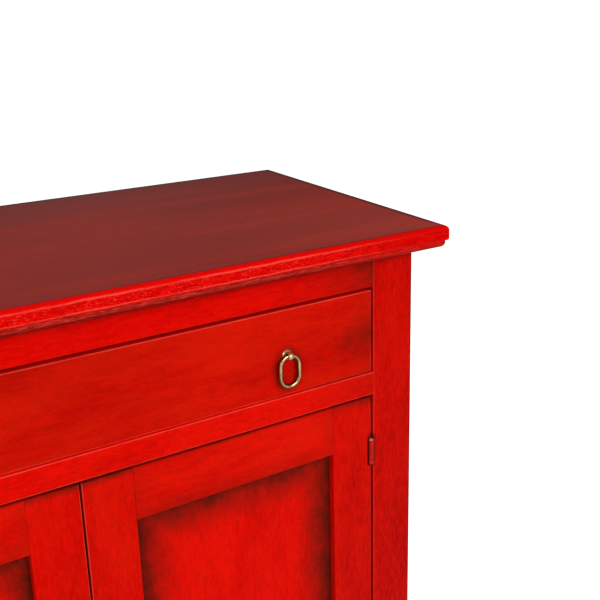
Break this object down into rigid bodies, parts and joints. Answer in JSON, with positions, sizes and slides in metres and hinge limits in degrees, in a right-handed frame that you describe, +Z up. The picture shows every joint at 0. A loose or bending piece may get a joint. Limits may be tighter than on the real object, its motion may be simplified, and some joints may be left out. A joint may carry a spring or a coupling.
{
  "type": "sideboard",
  "caption": "Red lacquered sideboard with a moulded top, a wide drawer on ring pulls and a pair of framed doors on butt hinges, standing on square legs.",
  "frame": {"origin": "on the floor under the middle of the top board", "axes": "+X to the right along the width, +Y to the back, +Z up; the drawer and doors face -Y"},
  "size_m": [0.93, 0.42, 0.85],
  "materials": {
    "red_lacquer": "antiqued satin red lacquer over open-grained wood, rubbed lighter on the arrises",
    "top_lacquer": "darker brown-red satin lacquer with straight grain",
    "bare_wood": "plain sealed wood inside",
    "antique_brass": "antique brass, dark in the hollows",
    "painted_hinge": "steel hinge lacquered red with worn tips",
    "steel": "zinc plated steel"
  },
  "bodies": {
    "cabinet": {"top_board": "top_lacquer", "front_left_post": "red_lacquer", "front_right_post": "red_lacquer", "rear_left_post": "red_lacquer", "rear_right_post": "red_lacquer", "front_apron": "red_lacquer", "middle_rail": "red_lacquer", "bottom_rail": "red_lacquer", "left_side_top_rail": "red_lacquer", "left_side_bottom_rail": "red_lacquer", "left_side_panel": "red_lacquer", "right_side_top_rail": "red_lacquer", "right_side_bottom_rail": "red_lacquer", "right_side_panel": "red_lacquer", "back_top_rail": "red_lacquer", "back_bottom_rail": "red_lacquer", "back_panel": "bare_wood", "floor_board": "bare_wood", "shelf": "bare_wood", "shelf_cleats": "bare_wood", "left_drawer_runner": "bare_wood", "right_drawer_runner": "bare_wood", "left_drawer_kicker": "bare_wood", "right_drawer_kicker": "bare_wood", "drawer_stops": "bare_wood", "door_stop": "bare_wood", "catch_magnets": "steel", "post_hinge_leaves": "painted_hinge", "hinge_pins": "painted_hinge", "post_hinge_screws": "steel", "top_screws": "steel"},
    "drawer": {"drawer_front": "red_lacquer", "drawer_left_side": "bare_wood", "drawer_right_side": "bare_wood", "drawer_back": "bare_wood", "drawer_bottom": "bare_wood", "drawer_left_pull_eye": "antique_brass", "drawer_right_pull_eye": "antique_brass"},
    "left_door": {"left_door_hinge_stile": "red_lacquer", "left_door_meeting_stile": "red_lacquer", "left_door_top_rail": "red_lacquer", "left_door_bottom_rail": "red_lacquer", "left_door_panel": "red_lacquer", "left_door_hinge_leaves": "painted_hinge", "left_door_hinge_screws": "steel", "left_door_pull_eye": "antique_brass", "left_door_strike": "steel"},
    "right_door": {"right_door_hinge_stile": "red_lacquer", "right_door_meeting_stile": "red_lacquer", "right_door_top_rail": "red_lacquer", "right_door_bottom_rail": "red_lacquer", "right_door_panel": "red_lacquer", "right_door_hinge_leaves": "painted_hinge", "right_door_hinge_screws": "steel", "right_door_pull_eye": "antique_brass", "right_door_strike": "steel"},
    "drawer_left_ring": {"drawer_left_ring": "antique_brass"},
    "drawer_right_ring": {"drawer_right_ring": "antique_brass"},
    "left_door_ring": {"left_door_ring": "antique_brass"},
    "right_door_ring": {"right_door_ring": "antique_brass"}
  },
  "joints": [
    {"name": "drawer_slide", "type": "slide", "parent": "cabinet", "child": "drawer", "axis": [0, -1, 0], "range_m": [0, 0.22]},
    {"name": "left_door_hinge", "type": "hinge", "parent": "cabinet", "child": "left_door", "pos_m": [-0.3722, -0.1765, 0.39225], "axis": [0, 0, -1], "range_deg": [0, 165]},
    {"name": "right_door_hinge", "type": "hinge", "parent": "cabinet", "child": "right_door", "pos_m": [0.3722, -0.1765, 0.39225], "axis": [0, 0, 1], "range_deg": [0, 165]},
    {"name": "drawer_left_ring_swing", "type": "hinge", "parent": "drawer", "child": "drawer_left_ring", "pos_m": [-0.254, -0.1799, 0.72125], "axis": [-1, 0, 0], "range_deg": [-2, 165]},
    {"name": "drawer_right_ring_swing", "type": "hinge", "parent": "drawer", "child": "drawer_right_ring", "pos_m": [0.254, -0.1799, 0.72125], "axis": [-1, 0, 0], "range_deg": [-2, 165]},
    {"name": "left_door_ring_swing", "type": "hinge", "parent": "left_door", "child": "left_door_ring", "pos_m": [-0.02975, -0.1799, 0.43], "axis": [-1, 0, 0], "range_deg": [-2, 165]},
    {"name": "right_door_ring_swing", "type": "hinge", "parent": "right_door", "child": "right_door_ring", "pos_m": [0.02975, -0.1799, 0.43], "axis": [-1, 0, 0], "range_deg": [-2, 165]}
  ]
}
